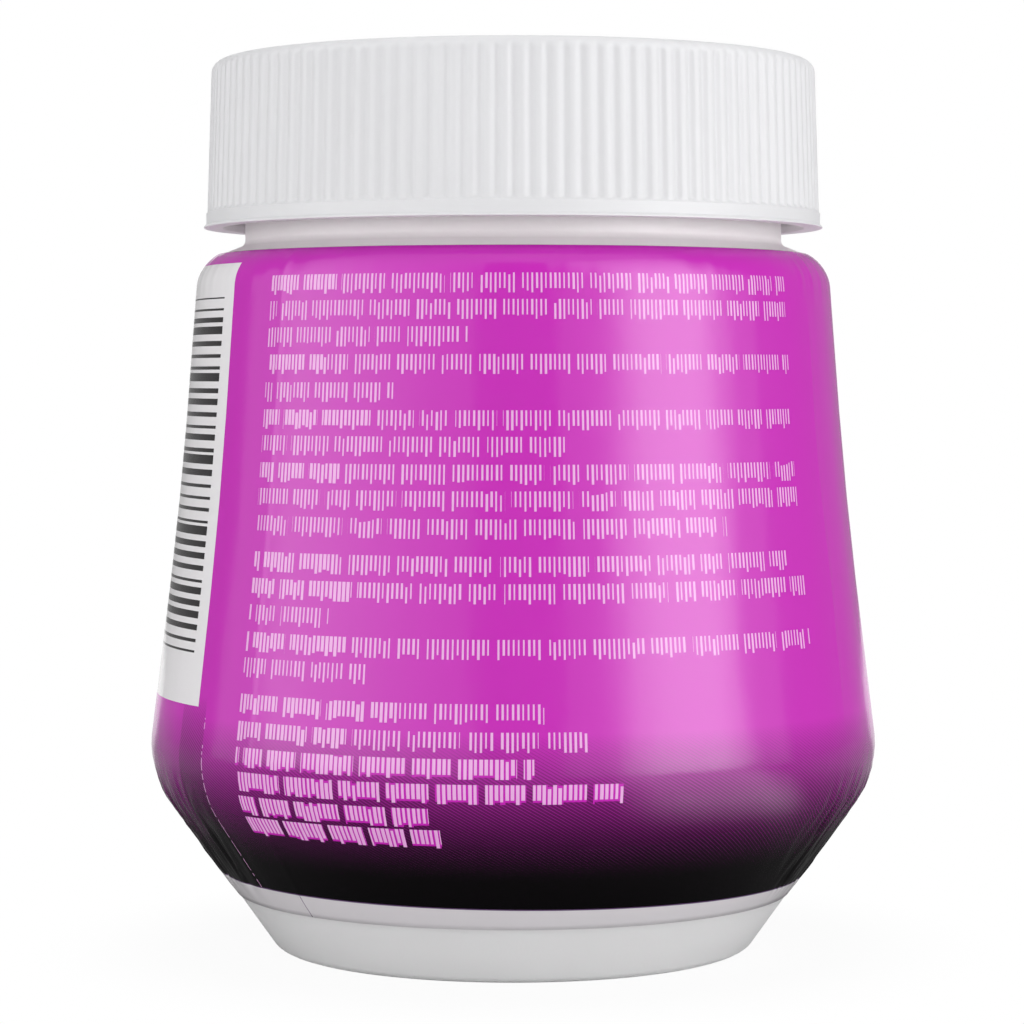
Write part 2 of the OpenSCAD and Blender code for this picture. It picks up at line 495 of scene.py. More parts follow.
def fade_to_black(tree, azimuth, height):
    """Where the foot of the print is black: a screen of fine lines whose ink lines thin out downwards."""
    edge = {0: azimuth, 1: SEAM_AZIMUTH - LAP_HALF, 2: LAP_HALF}
    lap = add(tree, "Math", edge, operation="COMPARE")
    fade_z = add(tree, "Math", {0: lap, 1: -LAP_RISE, 2: height}, operation="MULTIPLY_ADD")
    fade = {"Value": fade_z, "From Min": FADE_TO_Z, "From Max": FADE_FROM_Z}
    left = add(tree, "MapRange", fade)
    left = add(tree, "Math", {0: left, 1: FADE_POWER}, operation="POWER")
    across = add(tree, "Math", {0: azimuth, 1: SCREEN_LEAN, 2: height}, operation="MULTIPLY_ADD")
    _, ruled = steps_along(tree, across, SCREEN_LINES)
    ruled = add(tree, "Math", {0: ruled, 1: left}, operation="GREATER_THAN")
    # The eye, and the film's own haze, run most of the screen together
    cover = add(tree, "Math", {0: 1.0, 1: left}, operation="SUBTRACT")
    return add(tree, "Mix", {0: SCREEN_HAZE, 2: ruled, 3: cover})


def word_marks(tree, azimuth, height):
    """Words as rows of plain upright strokes: the plates of ink behind the lowest rows, and the strokes."""
    # Where a line is, which one it is, how far off its middle, and where it is heavy
    lines = {"on": 0.0, "number": 0.0, "off": 0.0, "heavy": 0.0}
    for index, (middle, end, heavy_end) in enumerate(PRINT_LINES):
        in_height = add(tree, "Math", {0: height, 1: middle, 2: LINE_H / 2}, operation="COMPARE")
        off = add(tree, "Math", {0: height, 1: middle}, operation="SUBTRACT")
        says = {"number": index + 1.0, "off": off}
        for key, stop in (("on", end), ("heavy", heavy_end)):
            if stop is not None:
                span = {0: azimuth, 1: (LINES_FROM + stop) / 2, 2: (stop - LINES_FROM) / 2}
                says[key] = add(tree, "Math", span, operation="COMPARE")
        for key, value in says.items():
            joined = {0: in_height, 1: value, 2: lines[key]}
            lines[key] = add(tree, "Math", joined, operation="MULTIPLY_ADD")
    seed = add(tree, "Math", {0: lines["number"], 1: LINE_SHIFT, 2: azimuth}, operation="MULTIPLY_ADD")
    gaps = add(
        tree,
        "TexVoronoi",
        {"W": seed, "Scale": 1 / WORD_STEP, "Randomness": 0.95},
        voronoi_dimensions="1D",
        feature="DISTANCE_TO_EDGE",
    )
    word = add(tree, "Math", {0: gaps, 1: WORD_GAP}, operation="GREATER_THAN")
    word = add(tree, "Math", {0: lines["on"], 1: word}, operation="MULTIPLY")
    # Each stroke has its own weight, and most are short, at the foot or at the top
    stroke, stroke_at = steps_along(tree, seed, 1 / STROKE_STEP)
    chance = add(tree, "TexWhiteNoise", {"W": stroke}, noise_dimensions="1D")
    thin, thick = STROKE_SHARE
    weight = add(tree, "MapRange", {"Value": chance, "To Min": thin, "To Max": thick})
    heavier = {0: lines["heavy"], 1: HEAVY_EXTRA, 2: weight}
    weight = add(tree, "Math", heavier, operation="MULTIPLY_ADD")
    in_stroke = add(tree, "Math", {0: stroke_at, 1: weight}, operation="LESS_THAN")
    _, drop = steps_along(tree, chance, 7.0)
    drop = add(tree, "MapRange", {"Value": drop, "From Min": 0.55, "To Min": -1.0, "To Max": 1.0})
    lean = add(tree, "Math", {0: lines["off"], 1: drop}, operation="MULTIPLY")
    low = add(tree, "Math", {0: height, 1: PLATED_BELOW}, operation="LESS_THAN")
    marks = []
    for reach, share in ((PLATE_END, low), (SHORT_END, in_stroke)):
        whole = add(tree, "Math", {0: lean, 1: reach}, operation="LESS_THAN")
        whole = add(tree, "Math", {0: whole, 1: share}, operation="MULTIPLY")
        marks.append(add(tree, "Math", {0: word, 1: whole}, operation="MULTIPLY"))
    return marks


def bar_panel(tree, azimuth, height):
    """Where the pale panel is, and the bars on it, whose widths are by chance."""
    blocks = []
    for turns, heights in ((PANEL_AZIMUTH, PANEL_Z), (BARS_AZIMUTH, BARS_Z)):
        inside = 1.0
        for value, (low, high) in ((azimuth, turns), (height, heights)):
            span = {0: value, 1: (low + high) / 2, 2: (high - low) / 2}
            within = add(tree, "Math", span, operation="COMPARE")
            inside = add(tree, "Math", {0: inside, 1: within}, operation="MULTIPLY")
        blocks.append(inside)
    bar, bar_at = steps_along(tree, height, 1 / BAR_STEP)
    chance = add(tree, "TexWhiteNoise", {"W": bar}, noise_dimensions="1D")
    thin, thick = BAR_SHARE
    width = add(tree, "MapRange", {"Value": chance, "To Min": thin, "To Max": thick})
    ink = add(tree, "Math", {0: bar_at, 1: width}, operation="LESS_THAN")
    panel, block = blocks
    return panel, add(tree, "Math", {0: block, 1: ink}, operation="MULTIPLY")


def seam_dots(tree, azimuth, height):
    """The sleeve's seam in the dark part of the print: a fine dotted line that didn't take the black."""
    dot, _ = steps_along(tree, height, SEAM_DOTS)
    dots = add(tree, "TexWhiteNoise", {"W": dot}, noise_dimensions="1D")
    dots = add(tree, "Math", {0: dots, 1: DOT_SHARE}, operation="LESS_THAN")
    line = add(tree, "Math", {0: azimuth, 1: SEAM_AZIMUTH, 2: FINE_LINE}, operation="COMPARE")
    below = add(tree, "Math", {0: height, 1: FADE_FROM_Z}, operation="LESS_THAN")
    seam = add(tree, "Math", {0: dots, 1: line}, operation="MULTIPLY")
    return add(tree, "Math", {0: seam, 1: below}, operation="MULTIPLY")


def shrink_film(look):
    """Clear PET shrink film, printed on its inner face: the ink has the film's own high gloss over it,
    broken by slow waves where the film shrank and by an upright crease or two."""
    material, tree = new_material("Printed PET shrink film, glossy")
    place = add(tree, "TexCoord").outputs["Object"]
    axis = add(tree, "SeparateXYZ", {0: place})
    turn = turn_of(tree, axis)
    azimuth = add(tree, "Math", {0: turn, 1: math.degrees(1)}, operation="MULTIPLY")
    height = add(tree, "Math", {0: axis.outputs["Z"], 1: 1 / MM}, operation="MULTIPLY")

    # Foot of the print: a hair of violet, then clear film with the pale jar behind it, and a crease in it
    # drawn as a dark line of painted shade
    tilt = add(tree, "Math", {0: axis.outputs["X"], 1: PRINT_TILT / TILT_AT}, operation="MULTIPLY")
    level = add(tree, "Math", {0: height, 1: tilt}, operation="ADD")
    hair = add(tree, "Math", {0: level, 1: PRINT_LOW_Z + HAIR_H}, operation="LESS_THAN")
    bare = add(tree, "Math", {0: level, 1: PRINT_LOW_Z}, operation="LESS_THAN")
    line = {0: azimuth, 1: CREASE_AZIMUTH, 2: FINE_LINE}
    crease = add(tree, "Math", line, operation="COMPARE")
    crease = add(tree, "Math", {0: crease, 1: bare}, operation="MULTIPLY")

    plates, words = word_marks(tree, azimuth, height)
    panel, bars = bar_panel(tree, azimuth, height)
    layers = (*look.ink, 1)
    for share, colour in (
        (fade_to_black(tree, azimuth, height), look.dark_ink),
        (plates, look.ink),
        (words, look.words),
        (panel, look.panel),
        (bars, look.bars),
        (seam_dots(tree, azimuth, height), look.words),
        (hair, look.edge),
        (bare, look.clear),
        (crease, look.edge),
    ):
        over = {0: share, 6: layers, 7: (*colour, 1)}
        layers = add(tree, "Mix", over, data_type="RGBA").outputs[2]

    # Slow waves of the shrunk film, about 9 mm round and 30 mm up, over a fine orange peel of about 0.9 mm
    drawn = add(tree, "Mapping", {0: place, "Scale": (110, 110, 33)})
    waves = add(tree, "TexNoise", {"Vector": drawn, "Scale": 1.0, "Detail": 2.0})
    peel = add(tree, "TexNoise", {"Vector": place, "Scale": 1100.0, "Detail": 1.0})
    relief = add(tree, "Math", {0: waves, 1: 22.0, 2: peel}, operation="MULTIPLY_ADD")
    relief = add(tree, "Bump", {"Height": relief, "Strength": 0.35, "Distance": 0.00002})
    rough = add(tree, "MapRange", {"Value": peel, "To Min": 0.12, "To Max": 0.2})
    shader = add(
        tree,
        "BsdfPrincipled",
        {"Base Color": layers, "Roughness": rough, "IOR": 1.48, "Normal": relief},
    )
    add(tree, "OutputMaterial", {0: shader})
    return material


def open_foam(look):
    """Open-cell polyurethane foam, cut from a block: matt, soft to light at its edges, with cells of about
    0.6 mm whose pits are painted darker than their walls, as painted shade."""
    material, tree = new_material("Open-cell polyurethane foam, cut")
    place = add(tree, "TexCoord").outputs["Object"]
    cells = add(tree, "TexVoronoi", {"Vector": place, "Scale": 1500.0})
    big = add(tree, "TexVoronoi", {"Vector": place, "Scale": 520.0})
    depth = add(tree, "Math", {0: big, 1: 0.6, 2: cells}, operation="MULTIPLY_ADD")
    share = add(tree, "MapRange", {"Value": depth, "From Min": 0.35, "From Max": 1.0})
    # Painted shade: the nearer a cell's middle, the nearer to the darker pit colour
    shades = {0: share, 6: (*look.pit_shade, 1), 7: (*look.wall, 1)}
    tint = add(tree, "Mix", shades, data_type="RGBA")
    relief = add(tree, "Bump", {"Height": depth, "Strength": 0.8, "Distance": 0.0004})
    shader = add(
        tree,
        "BsdfPrincipled",
        {
            "Base Color": tint.outputs[2],
            "Roughness": 0.95,
            "Sheen Weight": 0.25,
            "Subsurface Weight": 0.2,
            "Subsurface Radius": (1.0, 0.7, 0.8),
            "Subsurface Scale": 0.001,
            "Normal": relief,
        },
    )
    add(tree, "OutputMaterial", {0: shader})
    return material


def foamed_wad(look):
    """Foamed polyethylene sheet, die cut: white and matt, with cells of about 0.4 mm that scatter light as
    paper does."""
    material, tree = new_material("Foamed polyethylene wad")
    place = add(tree, "TexCoord").outputs["Object"]
    cells = add(tree, "TexVoronoi", {"Vector": place, "Scale": 2600.0})
    shades = {0: cells, 6: (*look.colour_high, 1), 7: (*look.colour_low, 1)}
    tint = add(tree, "Mix", shades, data_type="RGBA")
    relief = add(tree, "Bump", {"Height": cells, "Strength": 0.3, "Distance": 0.00008})
    shader = add(
        tree,
        "BsdfPrincipled",
        {"Base Color": tint.outputs[2], "Roughness": 0.7, "Normal": relief},
    )
    add(tree, "OutputMaterial", {0: shader})
    return material


# Properties


def swatch(name, description, code):
    """A colour that a user may change, whose default is an sRGB hex value."""
    return FloatVectorProperty(name=name, description=description, subtype="COLOR", default=linear(code))


class JarLook(bpy.types.PropertyGroup):
    """Size of steps and colours of the moulded jar."""

    steps: IntProperty(name="Steps", description="Facets round the jar", default=288, min=48)
    colour_low: swatch("Shade", "Darker tint of the polyethylene", "e7e6e7")
    colour_high: swatch("Colour", "Lighter tint of the polyethylene", "ebeaeb")
    # The neck's tint is painted light: paler for the shade under the cap, pink for the film's reflected
    # colour
    neck_painted_light: swatch("Neck", "Tint of the thicker neck", "fdf4f7")


class SleeveLook(bpy.types.PropertyGroup):
    """Size of steps and colours of the printed shrink film."""

    steps: IntProperty(name="Steps", description="Facets round the film", default=600, min=96)
    ink: swatch("Ink", "Main colour of the print", "c020b1")
    dark_ink: swatch("Dark ink", "Colour the print fades to", "040204")
    words: swatch("Words", "Colour of the lines of word marks", "e2aadb")
    panel: swatch("Panel", "Colour of the plain panel", "e4e2e4")
    bars: swatch("Bars", "Colour of the block of bars", "1a171a")
    # The edge colour also draws the crease in the clear margin, as a dark line of painted shade
    edge: swatch("Edge", "Colour of the hair line under the print", "5a4066")
    clear: swatch("Clear margin", "Jar seen through the clear film", "d5d2d5")


class FoamLook(bpy.types.PropertyGroup):
    """Colours of the foam block."""

    wall: swatch("Cell walls", "Colour of the foam's cell walls", "efc3d8")
    # The pits' darker colour is painted shade in the cells
    pit_shade: swatch("Cell pits", "Colour inside the foam's cells", "cf8fb0")


class WadLook(bpy.types.PropertyGroup):
    """Colours of the sealing wad."""

    colour_low: swatch("Shade", "Colour between the wad's cells", "e6e5e3")
    colour_high: swatch("Colour", "Colour of the wad's cells", "f6f5f4")


class CapLook(bpy.types.PropertyGroup):
    """Ribs and colours of the screw cap."""

    rib_count: IntProperty(name="Ribs", description="Ribs round the cap", default=120, min=24)
    groove_depth: FloatProperty(
        name="Groove depth", description="Depth of the grooves", unit="LENGTH", default=0.22 * MM
    )
    colour_low: swatch("Shade", "Darker tint of the polypropylene", "d5d5d7")
    colour_high: swatch("Colour", "Lighter tint of the polypropylene", "dadadc")


class StudioLook(bpy.types.PropertyGroup):
    """Camera and lamps."""

    distance: FloatProperty(
        name="Distance", description="Camera's distance from the axis", unit="LENGTH", default=0.2833
    )
    eye_height: FloatProperty(
        name="Eye height", description="Camera's height over the floor", unit="LENGTH", default=0.0475
    )
    aim_height: FloatProperty(
        name="Aim height", description="Height that the camera looks at", unit="LENGTH", default=0.0361
    )
    aside: FloatProperty(
        name="Aside", description="Camera's place to the right of the axis", unit="LENGTH", default=-0.0001
    )
    lens: FloatProperty(name="Lens", description="Focal length in millimetres", default=119.53)
    fill: FloatProperty(name="Fill", description="Brightness of the soft boxes round the jar", default=1.88)
    top: FloatProperty(name="Top", description="Brightness of the overhead soft box", default=1.4)
    window_right: FloatProperty(
        name="Right window", description="Brightness of the window mirrored on the right", default=4.4
    )
    window_left: FloatProperty(
        name="Left window", description="Brightness of the window mirrored on the left", default=1.8
    )
    card: FloatProperty(name="Cards", description="Brightness of the mirrored grey cards", default=0.3)
    sky: FloatProperty(name="Surround", description="Strength of the white surround", default=0.36)


class SpongeJarLook(bpy.types.PropertyGroup):
    """Everything about the jar that a user may change."""

    jar: PointerProperty(type=JarLook, name="Jar", description="The moulded jar")
    sleeve: PointerProperty(type=SleeveLook, name="Sleeve", description="The printed film")
    foam: PointerProperty(type=FoamLook, name="Foam", description="The foam block")
    wad: PointerProperty(type=WadLook, name="Wad", description="The sealing wad")
    cap: PointerProperty(type=CapLook, name="Cap", description="The screw cap")
    studio: PointerProperty(type=StudioLook, name="Studio", description="Camera and lamps")


# Pieces


def thread_piece(name, body, slot, material, thread):
    """Spins a trapezoid up a right-hand helix into a thread, and runs both its ends out into the wall."""
    root_r, crest_r, root_w, crest_w, low_z, turns = thread
    bm = bmesh.new()
    corners = [
        (root_r, -root_w / 2),
        (crest_r, -crest_w / 2),
        (crest_r, crest_w / 2),
        (root_r, root_w / 2),
    ]
    verts = [bm.verts.new((r * MM, 0, (low_z + z) * MM)) for r, z in corners]
    face = bm.faces.new(verts)
    steps = math.ceil(THREAD_STEPS * turns)
    angle = 2 * math.pi * turns
    bmesh.ops.spin(
        bm,
        geom=[face, *face.edges, *face.verts],
        cent=(0, 0, 0),
        axis=(0, 0, 1),
        dvec=(0, 0, THREAD_PITCH * turns / steps * MM),
        angle=angle,
        steps=steps,
        use_duplicate=False,
    )
    for vert in bm.verts:
        rise = (vert.co.z / MM - low_z) / THREAD_PITCH
        base = math.atan2(vert.co.y, vert.co.x) / (2 * math.pi)
        lap = round(rise - base)
        along = (base + lap) * 2 * math.pi
        share = smooth_step(min(along, angle - along), 0, THREAD_TAPER)
        r = math.hypot(vert.co.x, vert.co.y) / MM
        wanted = root_r + (r - root_r) * share
        vert.co.x *= wanted / r
        vert.co.y *= wanted / r
    turned = Matrix.Rotation(THREAD_START, 3, "Z")
    bmesh.ops.rotate(bm, verts=bm.verts, cent=(0, 0, 0), matrix=turned)
    bmesh.ops.recalc_face_normals(bm, faces=bm.faces)
    sharpen(piece(bm, name, body, slot, material), 50)


class SPONGEJAR_OT_jar(bpy.types.Operator):
    """Builds the moulded jar with its hollow base, open mouth and neck thread"""

    bl_idname = "spongejar.jar"
    bl_label = "Jar"

    def execute(self, context):
        look = context.scene.sponge_jar.jar
        material = polyethylene(look)
        points = outline(JAR_HOLLOW + JAR_SIDE + JAR_INSIDE)
        bm = lathe(spaced(points, JAR_ROW), look.steps)
        jar = piece(bm, "jar_moulded", "jar_body", "jar", material, "jar")
        sharpen(jar, 40)
        thread_piece("jar_neck_thread", "jar_body", "jar", material, JAR_THREAD)
        return {"FINISHED"}


def film_relief(azimuth, z):
    """How far the shrunk film stands off its smooth form, in mm, at an azimuth in degrees and a height."""
    turn = math.radians(azimuth)
    round_ = Vector((math.sin(turn), math.cos(turn), 0))

    def waves(across, up, shift=0):
        """Smooth noise: across says how fast it changes round the jar, and up how fast up its wall."""
        return noise.noise(Vector((round_.x * across, round_.y * across, z * up + shift)))

    rise = 0.014 * waves(3.4, 0.045)
    # Upright creases, which wander as they climb: one through the clear margin, and one up the wall
    wander = CREASE_AZIMUTH + 0.5 * noise.noise(Vector((z * 0.05, 3, 1)))
    rise += 0.05 * bump_at(azimuth, wander, CREASE_HALF)
    wander = WALL_CREASE_AZIMUTH + 0.8 * noise.noise(Vector((z * 0.08, 7, 2)))
    rise += 0.04 * bump_at(azimuth, wander, CREASE_HALF) * smooth_step(z, 18, 24) * smooth_step(z, 55, 50)
    # Folds where the film is drawn in under the belly, sharp and strong away from the front
    side = smooth_step(abs(azimuth), *FOLD_SIDES)
    folds = waves(15, 0.11)
    fine = waves(31, 0.16, 5)
    rise += smooth_step(z, 15, 9) * (0.008 + 0.08 * side) * folds
    rise += smooth_step(z, 17, 12) * smooth_step(z, 5.5, 7.5) * side * 0.55 * (0.2 - abs(fine))
    # Flutes at the shoulder's edge, and a crinkled patch on the right
    flutes = waves(26, 0, 9)
    patch = bump_at(azimuth, PATCH_AZIMUTH, PATCH_HALF) * fine
    rise += (0.03 * flutes + 0.13 * patch) * smooth_step(z, 52.5, 56)
    return rise


def radius_at(points, height):
    """The radius of a rising outline at a height."""
    for (r0, z0), (r1, z1) in zip(points, points[1:]):
        if height <= z1:
            return r0 + (r1 - r0) * (height - z0) / (z1 - z0)
    return points[-1][0]


class SPONGEJAR_OT_sleeve(bpy.types.Operator):
    """Builds the printed shrink film round the jar, from the shoulder to the lower cone"""

    bl_idname = "spongejar.sleeve"
    bl_label = "Printed sleeve"

    def execute(self, context):
        look = context.scene.sponge_jar.sleeve
        side = outline([(RING_IN_R, 0, 0), *JAR_SIDE], 12)
        outside = spaced(between(grown(side, FILM_OUT), FILM_LOW_Z, FILM_TOP_Z), FILM_OUTER_ROW)
        inside = spaced(between(grown(side, FILM_IN), FILM_LOW_Z, FILM_TOP_Z), FILM_INNER_ROW)
        bm = lathe(outside + inside[::-1], look.steps, closed=True)
        inner = {}
        for vert in bm.verts:
            r = math.hypot(vert.co.x, vert.co.y) / MM
            z = vert.co.z / MM
            row = round(z, 4)
            if row not in inner:
                inner[row] = radius_at(inside, z)
            if r < inner[row] + (FILM_OUT - FILM_IN) / 2:
                continue
            azimuth = math.degrees(math.atan2(vert.co.x, -vert.co.y))
            # Thin and smooth at its lower edge, where it clings to the jar
            thin = EDGE_THIN * smooth_step(z, FILM_LOW_Z + EDGE_THIN_H, FILM_LOW_Z)
            free = smooth_step(z, FILM_LOW_Z, FILM_LOW_Z + EDGE_SMOOTH_H)
            scale = (r + film_relief(azimuth, z) * free - thin) / r
            vert.co.x *= scale
            vert.co.y *= scale
        film = piece(bm, "printed_sleeve", "jar_body", "sleeve", shrink_film(look), "label_sleeve")
        sharpen(film, 60)
        return {"FINISHED"}


class SPONGEJAR_OT_foam(bpy.types.Operator):
    """Builds the foam block with its finger hole"""

    bl_idname = "spongejar.foam"
    bl_label = "Foam block"

    def execute(self, context):
        look = context.scene.sponge_jar.foam
        low, top = FOAM_LOW_Z, FOAM_TOP_Z
        corners = [
            (0, low, 0),
            (19.4, low, 1),
            (24.95, 10.8, 3),
            (25, top - 3, 8),
            (24.2, top, 1.2),
            (HOLE_R, top, 2.5),
            (HOLE_R, low + HOLE_FLOOR, 5),
            (0, low + HOLE_FLOOR, 0),
        ]
        bm = lathe(spaced(outline(corners), FOAM_ROW), FOAM_STEPS)
        for vert in bm.verts:
            spot = vert.co / MM
            if math.hypot(spot.x, spot.y) < 0.5:
                continue
            pores = noise.noise(spot * 1.1) + 0.6 * noise.noise(spot * 2.6)
            lumps = (0.5 + noise.noise(spot * 0.16)) * smooth_step(spot.z, 40, 54)
            vert.co -= vert.normal * (PORE_DEPTH * abs(pores) + LUMP_DEPTH * lumps) * MM
        foam = piece(bm, "foam_block", "jar_body", "foam", open_foam(look), "sponge")
        return {"FINISHED"}


class SPONGEJAR_OT_wad(bpy.types.Operator):
    """Builds the loose sealing wad with the ring that the rim has pressed into it"""

    bl_idname = "spongejar.wad"
    bl_label = "Sealing wad"

    def execute(self, context):
        look = context.scene.sponge_jar.wad
        low, top = WAD_LOW_Z, WAD_TOP_Z
        corners = [
            (0, low, 0),
            (20.4, low, 0.3),
            (20.8, low + PRESSED_DEPTH, 0.3),
            (22.0, low + PRESSED_DEPTH, 0.3),
            (22.4, low, 0.3),
            (WAD_R, low, 0.12),
            (WAD_R, top, 0.12),
            (0, top, 0),
        ]
        bm = lathe(outline(corners), WAD_STEPS)
        wad = piece(bm, "cap_wad", "wad_body", "wad", foamed_wad(look), "cap_liner")
        sharpen(wad, 40)
        return {"FINISHED"}


class SPONGEJAR_OT_cap(bpy.types.Operator):
    """Builds the ribbed screw cap with its band, lip, wad bead and inner thread"""

    bl_idname = "spongejar.cap"
    bl_label = "Screw cap"

    def execute(self, context):
        look = context.scene.sponge_jar.cap
        low, top = CAP_LOW_Z, CAP_TOP_Z
        band_z = low + BAND_H
        material = polypropylene(look)
        corners = [
            (0, top, 0),
            (SKIRT_TOP_R, top, 1),
            (SKIRT_LOW_R, band_z, 0),
            (BAND_R, band_z - 0.1, 0.05),
            (BAND_R, low + LIP_H, 0.05),
            (LIP_R, low + 0.12, 0.05),
            (LIP_R, low, 0.05),
            (BORE_R + 0.3, low, 0.1),
            (BORE_R, low + 0.5, 0.2),
            (BORE_R, WAD_LOW_Z - 1.2, 0.2),
            (BEAD_R, WAD_LOW_Z - 0.6, 0.25),
            (BORE_R, WAD_LOW_Z, 0.1),
            (BORE_R, WAD_TOP_Z, 0.1),
            (0, WAD_TOP_Z, 0),
        ]
        points = outline(corners)
        # Rows for the ribs' rounded tops and feet
        rib_rows = [RIB_FADE_Z - down for down in RIB_TOP_ROWS]
        rib_rows += [band_z + up for up in RIB_FOOT_ROWS[::-1]]
        rows = []
        for (r0, z0), (r1, z1) in zip(points, points[1:]):
            rows.append((r0, z0))
            if min(r0, r1) > SKIRT_TOP_R - 0.5 and z0 > z1 >= band_z - 0.001:
                for z in rib_rows:
                    if z1 + 0.01 < z < z0 - 0.01:
                        rows.append((r0 + (r1 - r0) * (z0 - z) / (z0 - z1), z))
        rows.append(points[-1])
        bm = lathe(rows, look.rib_count * RIB_STEPS)
        pitch = 2 * math.pi / look.rib_count
        for vert in bm.verts:
            z = vert.co.z / MM
            r = math.hypot(vert.co.x, vert.co.y) / MM
            if r < SKIRT_TOP_R - 0.6 or z < band_z or z > RIB_FADE_Z:
                continue
            turn = math.atan2(vert.co.y, vert.co.x) / pitch
            off = abs(turn - round(turn)) * pitch * r
            shape = 1 - smooth_step(off, *GROOVE_WALL)
            shape *= smooth_step(z, RIB_FADE_Z, RIB_FADE_Z - RIB_TOP_H)
            shape *= smooth_step(z, band_z, band_z + RIB_FOOT_H)
            scale = 1 - look.groove_depth / MM * shape / r
            vert.co.x *= scale
            vert.co.y *= scale
        cap = piece(bm, "screw_cap", "cap_body", "cap", material, "cap")
        sharpen(cap, 50)
        thread_piece("cap_inner_thread", "cap_body", "cap", material, CAP_THREAD)
        return {"FINISHED"}


# Lamps and cards, in metres, with azimuths in degrees from the camera's side

LAMP_AIM_Z = 0.036
# Where each window runs from dark to full along its face: across X from its first end, up Y from its foot
RIGHT_FADES = (("X", 0, 0.45), ("X", 1, 0.66), ("Y", 0.13, 0.25), ("Y", 1.2, 0.4))
LEFT_FADES = (("X", 0, 0.185), ("X", 1, 0.185), ("Y", 0.2, 0.32), ("Y", 1.2, 0.4))
# Distances from the middle of the floor at which a card has its near and its far brightness
CARD_SPAN = (0.024, 0.1)
# The right-hand window's glow on the floor card: its azimuth, and where it runs from dark to full, in
# degrees off that azimuth and then in metres from the middle
GLOW_AZIMUTH = 54
GLOW_TURNS = (33, 12)
GLOW_NEAR = (0.031, 0.056)
GLOW_FAR = (1.2, 0.15)


def lamp(name, first, last, elevation, distance, high, radiance, fades=()):
    """An area lamp that spans the azimuths from first to last and is aimed at the jar's middle. Each fade
    says along which way of its face, from 0 at the first or lower end to 1, it rises from dark to full."""
    half = math.radians(last - first) / 2
    data = bpy.data.lights.new(name, "AREA")
    data.shape = "RECTANGLE"
    data.size = 2 * distance * math.tan(half)
    data.size_y = high
    data.energy = radiance * math.pi * data.size * high
    if fades:
        data.use_nodes = True
        tree = data.node_tree
        tree.nodes.clear()
        spot = add(tree, "NewGeometry")
        along = add(tree, "SeparateXYZ", {0: spot.outputs["Parametric"]})
        share = 1.0
        for way, dark, full in fades:
            span = {"Value": along.outputs[way], "From Min": dark, "From Max": full}
            rise = add(tree, "MapRange", span, interpolation_type="SMOOTHSTEP")
            share = add(tree, "Math", {0: share, 1: rise}, operation="MULTIPLY")
        glow = add(tree, "Emission", {"Strength": share})
        add(tree, "OutputLight", {0: glow})
    obj = bpy.data.objects.new(name, data)
    turn, lift = math.radians(first + last) / 2, math.radians(elevation)
    way = Vector((math.sin(turn) * math.cos(lift), -math.cos(turn) * math.cos(lift), math.sin(lift)))
    obj.location = Vector((0, 0, LAMP_AIM_Z)) + way * distance
    obj.rotation_euler = way.to_track_quat("Z", "Y").to_euler()
    bpy.context.scene.collection.objects.link(obj)
    return obj


def card(name, title, edge, angle, first, near, far, lit=0.0):
    """A card that only gloss sees, made of an edge of two points turned round the axis from the azimuth
    first. It stands for the darker parts of the room, which the film mirrors, and the one round the foot
    for the jar's painted shadow on the floor: near and far are its brightness at the distances of
    CARD_SPAN, and lit is what the right-hand window adds to it, a painted pool of the window's light."""
    bm = bmesh.new()
    verts = [bm.verts.new(spot) for spot in edge]
    line = bm.edges.new(verts)
    centre = {"cent": (0, 0, 0), "axis": (0, 0, 1)}
    geometry = [*verts, line]
    bmesh.ops.spin(bm, geom=geometry, angle=math.radians(angle), steps=48, use_duplicate=False, **centre)
    turned = Matrix.Rotation(math.radians(first - 90), 3, "Z")
    bmesh.ops.rotate(bm, verts=bm.verts, cent=(0, 0, 0), matrix=turned)
    material, tree = new_material(title)
    place = add(tree, "TexCoord").outputs["Object"]
    away = add(tree, "VectorMath", {0: place}, operation="LENGTH").outputs["Value"]
    low, high = CARD_SPAN
    span = {"Value": away, "From Min": low, "From Max": high, "To Min": near, "To Max": far}
    share = add(tree, "MapRange", span)
    if lit:
        axis = add(tree, "SeparateXYZ", {0: place})
        middle = {0: turn_of(tree, axis), 1: math.radians(GLOW_AZIMUTH)}
        off = add(tree, "Math", middle, operation="SUBTRACT")
        off = add(tree, "Math", {0: off}, operation="ABSOLUTE")
        glow = lit
        turns = [math.radians(degrees) for degrees in GLOW_TURNS]
        for value, (dark, full) in ((off, turns), (away, GLOW_NEAR), (away, GLOW_FAR)):
            span = {"Value": value, "From Min": dark, "From Max": full}
            step = add(tree, "MapRange", span, interpolation_type="SMOOTHSTEP")
            glow = add(tree, "Math", {0: glow, 1: step}, operation="MULTIPLY")
        share = add(tree, "Math", {0: share, 1: glow}, operation="ADD")
    shader = add(tree, "Emission", {0: (1, 1, 1, 1), 1: share})
    add(tree, "OutputMaterial", {0: shader})
    obj = placed(bm, name, material)
    obj.visible_camera = False
    obj.visible_diffuse = False
    obj.visible_transmission = False
    obj.visible_shadow = False


def white_surround(strength):
    """A world that lights softly, and is plain white to the camera and to gloss."""
    world = bpy.data.worlds.new("White surround")
    world.use_nodes = True
    tree = world.node_tree
    tree.nodes.clear()
    seen = add(tree, "LightPath").outputs
    direct = seen["Is Camera Ray"]
    for ray in ("Is Glossy Ray", "Is Transmission Ray"):
        direct = add(tree, "Math", {0: direct, 1: seen[ray]}, operation="MAXIMUM")
    soft = add(tree, "Background", {0: (1, 1, 1, 1), 1: strength})
    white = add(tree, "Background", {0: (1, 1, 1, 1), 1: 1.0})
    both = add(tree, "MixShader", {0: direct, 1: soft, 2: white})
    add(tree, "OutputWorld", {0: both})
    return world


